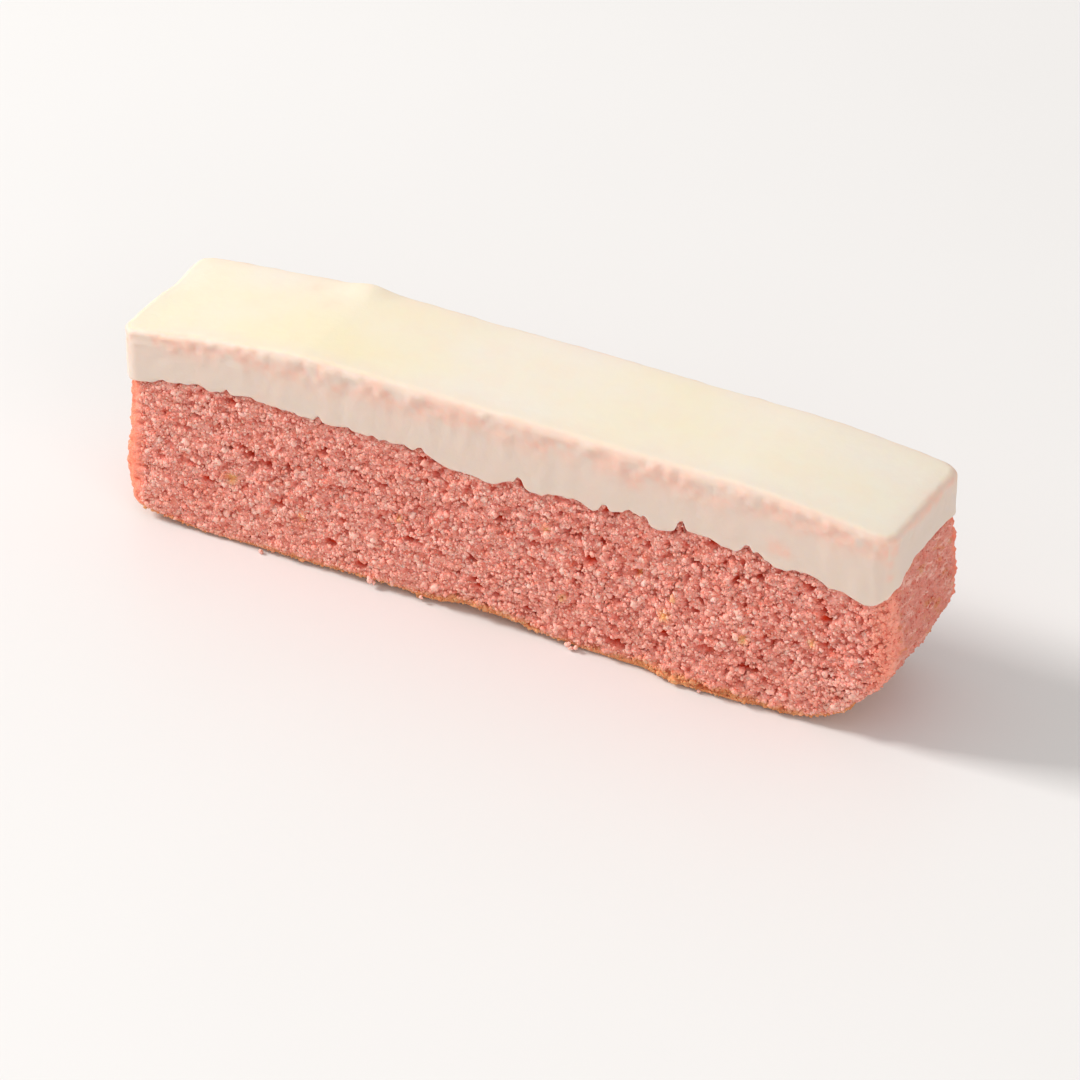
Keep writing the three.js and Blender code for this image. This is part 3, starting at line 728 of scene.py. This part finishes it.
def sponge_skin():
    """The sponge's closed skin: rows of the crumb from the foot to just behind the coating's edge,
    hidden rows that tuck in under it, and caps above and below."""
    skin, rows = Skin(place_crumb), CRUMB_ROWS + 1
    ring_x, ring_y = outline(CRUMB_INSET, ALONG_STEPS, ACROSS_STEPS)
    top = edge_height(*full_size(ring_x, ring_y, CRUMB_INSET)) + ABOVE_EDGE
    heights = np.linspace(0, 1, rows)[:, None] * top
    places = np.tile(ring_x, rows), np.tile(ring_y, rows), heights.ravel()
    rings = skin.add(*places, CRUMB_INSET, visible=True).reshape(rows, -1)
    for lower, upper in zip(rings, rings[1:]):
        skin.join(lower, upper)
    skin.tuck_in(rings[-1], TUCK, (ALONG_STEPS // 4, ACROSS_STEPS // 4))

    # The browned underside, at half the fineness.
    steps, drawn_in = (ALONG_STEPS // 2, ACROSS_STEPS // 2), CRUMB_INSET + EDGE_RADIUS
    ring = skin.add(*outline(drawn_in, *steps), 0, CRUMB_INSET)
    skin.join(rings[0], ring, inwards=True)
    skin.close(ring, drawn_in, 0, CRUMB_INSET, steps, downwards=True)
    points, quads, triangles, marks = skin.parts()
    flat = ease(1 - points[:, 2] / UNDERSIDE_FADE)
    points[:, 2] += flat * UNDERSIDE_DEPTH * (1 + layered_noise(points, UNDERSIDE)) / 2
    return points, quads, triangles, marks


crumb_finish = crumb_material()
sponge = make_piece("sponge_crumb", *sponge_skin(), crumb_finish)
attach(sponge, "root")
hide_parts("sponge")


# ------------------------------------------------------------------------------------------------
# Grains of the crumb: the knife leaves small moist grains and paler clumps standing on the cut
# sides, and finer ones on the ends. Each is a small uneven ball that sits in the sponge.
# ------------------------------------------------------------------------------------------------
GRAIN_SEED = 11
# Spacing, least and greatest radius, and how far each is sunk, as a share of its radius.
GRAIN_SPACING, GRAIN_RADIUS, GRAIN_SUNK = 0.63, (0.20, 0.50), 0.25
FINE_SPACING, FINE_RADIUS, FINE_SUNK = 0.535, (0.11, 0.23), 0.05
CLUMP_SPACING, CLUMP_RADIUS, CLUMP_SUNK = 0.9, (0.38, 0.72), 0.4
END_SPACING, END_RADIUS, END_SUNK = 0.43, (0.11, 0.23), 0.5
LOWEST_GRAIN, HIGHEST_GRAIN = 0.45, 26.5  # heights between which the places are drawn
CLUMPS = 480  # kept on each long side, of the places that the spacing gives
GRAIN_SPREAD, CLUMP_SPREAD = (1.4, 2.4), (1.3, 3.5)  # beta spreads, so that most are small
GRAIN_PALE, CLUMP_PALE, END_PALE = 3, 0.9, 2  # powers: the higher, the fewer are pale
UNEVEN, STRETCH = 0.4, (0.7, 1.25)  # how far a ball's points move, and its axes stretch
PORE_CLEAR, STRIP_CLEAR = 0.25, 0.35  # no grain stands deeper in a pore or nearer a smooth corner
FOOT_CLEAR, EDGE_CLEAR = 0.25, 0.15  # or nearer the foot or the coating's edge
ROOT_SHADE, ROOT_TOP, ROOT_FADE = 0.8, 0.5, 0.95  # painted shade: how dark red a grain is at its root, and how high that reaches
TABLE_GAP = 0.02  # no grain reaches lower than this


def unit_ball(rings, sides):
    """A ball of latitude rings with a point at each pole: (cos u cos v, cos u sin v, sin u)."""
    u = (np.arange(1, rings + 1) / (rings + 1) - 0.5) * np.pi
    v = np.arange(sides) * 2 * np.pi / sides
    u, v = (grid.ravel() for grid in np.meshgrid(u, v, indexing="ij"))
    v = v + np.repeat(np.arange(rings), sides) * np.pi / sides
    points = np.stack([np.cos(u) * np.cos(v), np.cos(u) * np.sin(v), np.sin(u)], 1)
    points = np.concatenate([points, [[0, 0, -1], [0, 0, 1]]])
    first = np.arange(sides)
    after = (first + 1) % sides
    south, north, last = rings * sides, rings * sides + 1, (rings - 1) * sides
    triangles = [np.stack([np.full(sides, south), after, first], 1)]
    for ring in range(rings - 1):
        low, high = ring * sides, (ring + 1) * sides
        triangles.append(np.stack([low + first, low + after, high + first], 1))
        triangles.append(np.stack([low + after, high + after, high + first], 1))
    triangles.append(np.stack([last + first, last + after, np.full(sides, north)], 1))
    return points, np.concatenate(triangles)


def turned_balls(ball, centres, radii, rng):
    """One ball for each centre, made uneven point by point, stretched, turned at random and moved."""
    points, triangles = ball
    count = len(centres)
    shapes = points * (1 + UNEVEN * rng.uniform(-1, 1, (count, len(points), 1)))
    shapes = shapes * (radii[:, None] * rng.uniform(*STRETCH, (count, 3)))[:, None, :]
    q = rng.normal(size=(count, 4))
    w, x, y, z = (q / np.linalg.norm(q, axis=1, keepdims=True)).T
    turn = np.stack([
        1 - 2 * (y * y + z * z), 2 * (x * y - z * w), 2 * (x * z + y * w),
        2 * (x * y + z * w), 1 - 2 * (x * x + z * z), 2 * (y * z - x * w),
        2 * (x * z - y * w), 2 * (y * z + x * w), 1 - 2 * (x * x + y * y),
    ], 1).reshape(-1, 3, 3)
    shapes = np.einsum("nij,nkj->nki", turn, shapes) + centres[:, None, :]
    numbers = triangles[None] + (np.arange(count) * len(points))[:, None, None]
    return shapes.reshape(-1, 3), numbers.reshape(-1, 3)


def grain_piece(name, plain, radii, ball, pale, rng, sunk):
    """Grains at plain places of the sponge's skin, each sunk in it by a share of its radius. None
    stands in a pore, on a smooth corner or at the foot. Each grain has painted shade: it is
    darker red towards its root."""
    kept = {}

    def rough(p, facing):
        kept["relief"], kept["pore"], _ = crumb_relief(p, facing)
        return kept["relief"] - sunk * radii

    centres, facing = baked(plain, CRUMB_INSET, rough)
    clear = (kept["pore"] < PORE_CLEAR) & (centres[:, 2] > FOOT_CLEAR + radii)
    smooth_corner = (centres[:, 0] < 0) | (centres[:, 1] > 0)
    clear &= ~smooth_corner | (corner_share(centres, facing) < STRIP_CLEAR)
    marks = skin_marks(centres, facing, np.zeros(len(centres)), pale)
    marks["pale"] = pale
    centres, radii = centres[clear], radii[clear]
    points, triangles = turned_balls(ball, centres, radii, rng)
    each = len(ball[0])
    marks = {mark: np.repeat(values[clear], each) for mark, values in marks.items()}
    out = points - np.repeat(centres, each, axis=0)
    level = np.sum(out * np.repeat(facing[clear], each, axis=0), axis=1) / np.repeat(radii, each)
    # Painted shade: each grain is darker red towards its root, where it meets the skin.
    marks["pore"] = ROOT_SHADE * ease((ROOT_TOP - level) / ROOT_FADE)
    points[:, 2] = np.maximum(points[:, 2], TABLE_GAP)
    piece = make_piece(name, points, NO_QUADS, triangles, marks, crumb_finish)
    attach(piece, "root")
    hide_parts("sponge")


def scattered_places(side, spacing, rng):
    """Jittered grid of plain places on one side: "front" or "back" over X, "left" or "right" over
    Y, up to the coating's edge."""
    long_side = side in ("front", "back")
    reach = (HALF_LENGTH if long_side else HALF_WIDTH) - CRUMB_INSET
    level = np.arange(LOWEST_GRAIN, HIGHEST_GRAIN, spacing)
    place = np.arange(-reach + spacing / 2, reach, spacing)
    level, place = (grid.ravel() for grid in np.meshgrid(level, place, indexing="ij"))
    level = level + rng.uniform(-0.5, 0.5, len(level)) * spacing
    place = np.clip(place + rng.uniform(-0.5, 0.5, len(place)) * spacing, -reach, reach)
    across = (HALF_WIDTH if long_side else HALF_LENGTH) - CRUMB_INSET
    across = np.full(len(place), across if side in ("back", "right") else -across)
    x, y = (place, across) if long_side else (across, place)
    below = level < edge_height(*full_size(x, y, CRUMB_INSET)) - EDGE_CLEAR
    return np.stack([x, y, level], 1)[below]


def spread_radii(limits, spread, count, rng):
    """Radii between two limits, drawn from a beta spread."""
    return limits[0] + (limits[1] - limits[0]) * rng.beta(*spread, count)


rng = np.random.default_rng(GRAIN_SEED)
fine_ball, clump_ball = unit_ball(rings=2, sides=5), unit_ball(rings=4, sides=8)
for side in ("front", "back"):
    places = scattered_places(side, GRAIN_SPACING, rng)
    radii = spread_radii(GRAIN_RADIUS, GRAIN_SPREAD, len(places), rng)
    pale = rng.uniform(0, 1, len(places)) ** GRAIN_PALE
    grain_piece(f"{side}_grains", places, radii, fine_ball, pale, rng, GRAIN_SUNK)

    places = scattered_places(side, FINE_SPACING, rng)
    radii = rng.uniform(*FINE_RADIUS, len(places))
    pale = rng.uniform(0, 1, len(places)) ** GRAIN_PALE
    grain_piece(f"{side}_fine_grains", places, radii, fine_ball, pale, rng, FINE_SUNK)

    places = scattered_places(side, CLUMP_SPACING, rng)
    places = places[rng.permutation(len(places))[:CLUMPS]]
    radii = spread_radii(CLUMP_RADIUS, CLUMP_SPREAD, len(places), rng)
    pale = rng.uniform(0, 1, len(places)) ** CLUMP_PALE
    grain_piece(f"{side}_clumps", places, radii, clump_ball, pale, rng, CLUMP_SUNK)

places = np.concatenate([scattered_places(side, END_SPACING, rng) for side in ("left", "right")])
radii = rng.uniform(*END_RADIUS, len(places))
pale = rng.uniform(0, 1, len(places)) ** END_PALE
grain_piece("end_grains", places, radii, fine_ball, pale, rng, END_SUNK)


# ------------------------------------------------------------------------------------------------
# Loose crumbs: torn flakes of the same cake that lie against the foot of the cut sides, where the
# knife left them. Each is one uneven ball.
# ------------------------------------------------------------------------------------------------
# Each is (x, y, z, radius).
LOOSE_CRUMBS = [
    (-18.9, -10.6, 1.2, 0.45), (-18.2, -10.7, 0.95, 0.3), (11.6, -10.7, 0.8, 0.42),
    (12.2, -10.8, 0.45, 0.34), (12.9, -10.7, 0.7, 0.28), (-10.9, -10.6, 0.9, 0.26),
    (31.5, -11.2, 0.3, 0.3), (-36.2, -10.7, 0.3, 0.26), (-14.5, 10.5, 0.4, 0.36),
    (24.0, 10.6, 0.3, 0.28),
]
LOOSE_PALE = 0.7  # how pale they are

loose = np.array(LOOSE_CRUMBS)
points, triangles = turned_balls(clump_ball, loose[:, :3], loose[:, 3], rng)
points[:, 2] = np.maximum(points[:, 2], TABLE_GAP)
marks = {"pale": np.full(len(points), LOOSE_PALE)}
crumbs = make_piece("loose_crumbs", points, NO_QUADS, triangles, marks, crumb_finish)
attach(crumbs, "root")
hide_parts("sponge")


# ------------------------------------------------------------------------------------------------
# The coating: white chocolate, into which the stick was dipped upside down. It is a smooth skin
# over the top and the upper third, thin enough at the upper edges to let the pink show through,
# and it ends in a rounded lip on the crumb.
# ------------------------------------------------------------------------------------------------
COAT_THICKNESS = 1.1
COAT_ALONG, COAT_ACROSS, COAT_ROWS = 480, 64, 28  # fineness of its outer face
LIP_RADIUS, LIP_DEEPER, LIP_STEPS = 0.32, 1.15, 6  # its section is a little deeper than round
COAT_TUCK = [(1.6, 0.85), (3.0, COAT_THICKNESS)]  # hidden rows: (height above the edge, inset)
COAT_LEVEL = 0.24  # how far below the plain face it lies, so that its relief stays inside

# Relief, in layers of (cell size, share, seed): broad waves, upright runs on the sides, and lumps
# of the crumb round a depth below the top, which reach as far above and below it.
WAVES, WAVE_HEIGHT = [(11.0, 1, 81), (5.0, 0.4, 82)], 0.06
RUNS = [((1.9, 1.9, 7.0), 0.06, 83), (1.2, 0.02, 84)]
LUMPS = [(1.2, 0.12, 84), (2.4, 0.2, 85)]
LUMP_DEPTH, LUMP_REACH = 2.0, 2.0

# Where it is thin: a broken band round the upper edges, of (depth of its middle, half its height),
# with blotches, streaked patches on the sides, and faint blotches on the top.
BAND_LONG, BAND_END, BAND_THIN = (2.3, 2.1), (0.9, 0.9), 0.95
BLOTCHES = [(3.6, 0.4, 91), (1.3, 0.35, 94)]
STREAKS, PATCHES = [((1.3, 1.3, 5.0), 0.5, 92)], [(5.0, 0.5, 93)]
SIDE_THIN, PATCH_THIN, TOP_THIN = 0.08, 0.26, 0.10
BAND_CONTRAST, PATCH_CONTRAST, TOP_CONTRAST = (1.9, 0.15), (2.2, 1.0), (2, 0.8)
# How far up the rounded upper edges each belongs to the sides: the upward part of the facing from
# which it fades, and over which. The sides' pinker, darker colour reaches up over the rounded
# edges as painted shade that dulls their highlight.
RUNS_FADE, LUMPS_FADE, THIN_FADE, COLOUR_FADE = (0.3, 0.5), (0.8, 0.2), (0.9, 0.1), (0.7, 0.3)
RIM_WIDTH, RIM_SHARE = 4.5, 0.4  # the top takes on some of the sides' colour near its edges
# Spots where the coating is thinnest: (x, y, z, radius, strength).
THIN_SPOTS = [
    (41.9, -10.9, 25.6, 1.2, 0.9), (43.4, -10.9, 25.3, 0.9, 0.7), (58.0, -9.2, 29.2, 0.75, 1.0),
    (57.6, -9.7, 27.3, 0.6, 0.9), (57.5, -9.7, 25.4, 0.6, 0.8), (21.0, -10.9, 29.0, 1.2, 0.7),
    (-33.0, 4.0, 33.0, 1.6, 0.3), (-37.0, 7.0, 33.0, 1.3, 0.35), (57.5, 2.0, 30.8, 1.2, 0.5),
    (57.5, 10.0, 31.0, 1.0, 0.6), (-20.0, 10.8, 28.0, 1.5, 0.6), (12.0, 10.8, 27.0, 1.3, 0.7),
]


def side_share(facing, start, blend):
    """How far a point is on a side: 1 up to an upward facing of start, eased to 0 over blend."""
    return 1 - ease((facing[:, 2] - start) / blend)


def contrast(noise, gain, less):
    """Noise turned into spots: gain makes their edges harder, and taking more off makes them
    fewer."""
    return ease(gain * noise - less)


def coat_relief(points, facing):
    """Relief of the coating, inwards only: broad waves, upright runs on the sides, and small bumps
    of crumb under it, most of them near the upper edges."""
    below_middle = HEIGHT - LUMP_DEPTH - points[:, 2]
    upper = side_share(facing, *LUMPS_FADE) * np.exp(-((below_middle / LUMP_REACH) ** 2))
    relief = WAVE_HEIGHT * layered_noise(points, WAVES)
    relief = relief + side_share(facing, *RUNS_FADE) * layered_noise(points, RUNS)
    relief += upper * layered_noise(points, LUMPS)
    return np.minimum(relief - COAT_LEVEL, 0)


def thinness(points, facing, depth):
    """How thin the coating is, from 0 to 1, at a depth below the plain top: a broken band at the
    upper edges of the sides, faint upright streaks, and a few spots, all bells about their
    middles."""
    side = side_share(facing, *THIN_FADE)
    on_long = np.abs(facing[:, 1]) > np.abs(facing[:, 0])
    middle, half_height = (np.where(on_long, *pair) for pair in zip(BAND_LONG, BAND_END))
    band_share = np.exp(-(((depth - middle) / half_height) ** 2))
    blotch = 0.5 + layered_noise(points, BLOTCHES)
    streak = 0.5 + layered_noise(points, STREAKS)
    patch = contrast(0.5 + layered_noise(points, PATCHES), *PATCH_CONTRAST)
    thin = BAND_THIN * side * band_share * contrast(blotch, *BAND_CONTRAST)
    thin += side * (SIDE_THIN + PATCH_THIN * patch * streak)
    thin += TOP_THIN * (1 - side) * contrast(blotch, *TOP_CONTRAST)
    for spot_x, spot_y, spot_z, radius, strength in THIN_SPOTS:
        away = np.linalg.norm(points - [spot_x, spot_y, spot_z], axis=1) / radius
        thin += strength * np.exp(-away ** 2)
    return np.clip(thin, 0, 1)


def place_coating(plain, inset, visible):
    """Points of the coating's skin and their marks: how thin it is, and how far a point is on a
    side, to which the rim of the top counts in part."""
    points, facing = baked(plain, inset, coat_relief if visible else None)
    rim = np.minimum(HALF_LENGTH - np.abs(points[:, 0]), HALF_WIDTH - np.abs(points[:, 1]))
    of_rim = RIM_SHARE * ease(1 - rim / RIM_WIDTH)
    # Painted shade: the sides' darker colour reaches up over the rounded edges to dull their highlight.
    side = np.maximum(side_share(facing, *COLOUR_FADE), of_rim)
    return points, {"thin": thinness(points, facing, HEIGHT - plain[:, 2]), "side": side}


def coating_skin():
    """The coating's closed skin: the lip, a half circle from its inner foot round to the outer
    face, the outer rows and top, and the hidden inner side."""
    skin, steps, rings = Skin(place_coating), (COAT_ALONG, COAT_ACROSS), []
    for step in range(LIP_STEPS):
        angle = np.pi * (1 - step / LIP_STEPS)
        inset = LIP_RADIUS * (1 - np.cos(angle)) * LIP_DEEPER
        rings.append(skin.add_ring(inset, LIP_RADIUS * (1 - np.sin(angle)), steps, visible=True))
    ring_x, ring_y = outline(0, *steps)
    start = edge_height(ring_x, ring_y) + LIP_RADIUS
    for row in range(COAT_ROWS + 1):
        height = start + (HEIGHT - start) * row / COAT_ROWS
        rings.append(skin.add(ring_x, ring_y, height, 0, visible=True))
    for lower, upper in zip(rings, rings[1:]):
        skin.join(lower, upper)
    skin.close(rings[-1], 0, HEIGHT, 0, steps, visible=True)
    skin.tuck_in(rings[0], COAT_TUCK, (COAT_ALONG // 4, COAT_ACROSS // 4), inwards=True)
    return skin.parts()


# Linear colours of the coating, tuned in the same way.
IVORY = (0.775, 0.70, 0.605)
CREAM = (0.80, 0.695, 0.465)
SIDE = (0.73, 0.60, 0.515)
BLUSH = (0.87, 0.46, 0.355)


def coating_material():
    """White chocolate: ivory with creamier patches, a pinker, darker tone on the sides that reaches
    over the rounded upper edges as painted shade against their highlight, pink where it is thin,
    satin, and a little translucent."""
    material, tree, surface = new_material("white_chocolate")
    creamy = noise_value(tree, 22, 2, (1.6, 1, 1), low=0, high=0.85)
    colour = over(tree, IVORY, CREAM, creamy)
    # The sides' pinker, darker tone, carried over the rounded upper edges as painted shade on their
    # highlight.
    colour = over(tree, colour, SIDE, mark_value(tree, "side"))
    thin = product(tree, mark_value(tree, "thin"), noise_value(tree, 0.9, 3, low=0.55, high=1.0))
    colour = over(tree, colour, BLUSH, product(tree, thin, 0.65))
    tree.links.new(colour, surface.inputs["Base Color"])
    waves = bump(tree, noise_value(tree, 1.4, 2), distance_mm=0.05, strength=0.35)
    tree.links.new(waves, surface.inputs["Normal"])
    surface.inputs["Roughness"].default_value = 0.5
    surface.inputs["IOR"].default_value = 1.45
    surface.inputs["Specular IOR Level"].default_value = 0.3
    surface.inputs["Subsurface Weight"].default_value = 0.7
    surface.inputs["Subsurface Radius"].default_value = (1.0, 0.75, 0.5)
    surface.inputs["Subsurface Scale"].default_value = 0.0016
    return material


coating = make_piece("white_coating", *coating_skin(), coating_material())
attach(coating, "root")
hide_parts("coating")


# ------------------------------------------------------------------------------------------------
# The studio: a plain pale floor, a soft key from high on the left and a little behind, a weak fill
# from the front, pale surroundings, and a long lens that looks down on the long side from its right.
# ------------------------------------------------------------------------------------------------
FLOOR_SIZE = 6000
FLOOR_COLOUR, FLOOR_DARKER, FLOOR_PATCH = (0.77, 0.765, 0.76), 0.985, 90
CAMERA_AZIMUTH, CAMERA_ELEVATION = np.radians(29.36), np.radians(32.2)
CAMERA_DISTANCE = 666.8
CAMERA_HEIGHT_AIM = 16.5
CAMERA_LENS, CAMERA_SENSOR = 166.67, 36
# Where the picture's middle lies from the aim, to the right and up, at the stick's distance.
AIM_RIGHT, AIM_UP = 1.267, -7.515
KEY = dict(left=1195, back=385, up=870, size=385, watts=22.0, colour=(1.0, 0.975, 0.95))
FILL = dict(left=-250, back=-600, up=260, size=500, watts=1.3, colour=(1.0, 0.975, 0.955))
LIGHT_AIM = 15  # height of the point that both lights face
SURROUNDINGS, SURROUNDINGS_STRENGTH = (1.0, 0.98, 0.962), 0.64

sideways = np.array([np.cos(CAMERA_AZIMUTH), np.sin(CAMERA_AZIMUTH), 0])
backwards = np.array([-np.sin(CAMERA_AZIMUTH), np.cos(CAMERA_AZIMUTH), 0])
upwards = np.array([0, 0, 1])
towards_camera = -backwards * np.cos(CAMERA_ELEVATION) + upwards * np.sin(CAMERA_ELEVATION)
picture_up = np.cross(towards_camera, sideways)


def look_at(placed, target):
    """Turn an object at its own place, so that its -Z points at the target and its Y upwards."""
    placed.rotation_euler = (Vector(target) - placed.location).to_track_quat("-Z", "Y").to_euler()


def soft_light(name, light):
    """A square area light, placed to the left, back and up as the camera sees it."""
    data = bpy.data.lights.new(name, "AREA")
    data.shape = "SQUARE"
    data.size = light["size"] * 0.001
    data.energy = light["watts"]
    data.color = light["colour"]
    placed = bpy.data.objects.new(name, data)
    bpy.context.scene.collection.objects.link(placed)
    place = -sideways * light["left"] + backwards * light["back"] + upwards * light["up"]
    placed.location = place * 0.001
    look_at(placed, (0, 0, LIGHT_AIM * 0.001))


floor_material, floor_tree, floor_surface = new_material("pale_floor")
darker = tuple(FLOOR_DARKER * channel for channel in FLOOR_COLOUR)
patches = over(floor_tree, FLOOR_COLOUR, darker, noise_value(floor_tree, FLOOR_PATCH, 2))
floor_tree.links.new(patches, floor_surface.inputs["Base Color"])
floor_surface.inputs["Roughness"].default_value = 0.38
floor_surface.inputs["Specular IOR Level"].default_value = 0.4
corners = np.array([(-1, -1, 0), (1, -1, 0), (1, 1, 0), (-1, 1, 0)]) * FLOOR_SIZE / 2
floor = make_piece("floor", corners, np.array([[0, 1, 2, 3]]), NO_TRIANGLES, {}, floor_material)

soft_light("key", KEY)
soft_light("fill", FILL)
world = bpy.data.worlds.new("surroundings")
world.use_nodes = True
world.node_tree.nodes["Background"].inputs["Color"].default_value = (*SURROUNDINGS, 1)
world.node_tree.nodes["Background"].inputs["Strength"].default_value = SURROUNDINGS_STRENGTH
scene = bpy.context.scene
scene.world = world
scene.view_settings.view_transform = "Standard"

aim = np.array([0, 0, CAMERA_HEIGHT_AIM])
camera_data = bpy.data.cameras.new("camera")
camera_data.lens, camera_data.sensor_width = CAMERA_LENS, CAMERA_SENSOR
camera = bpy.data.objects.new("camera", camera_data)
scene.collection.objects.link(camera)
camera.location = (aim + towards_camera * CAMERA_DISTANCE) * 0.001
look_at(camera, (aim + sideways * AIM_RIGHT + picture_up * AIM_UP) * 0.001)
scene.camera = camera
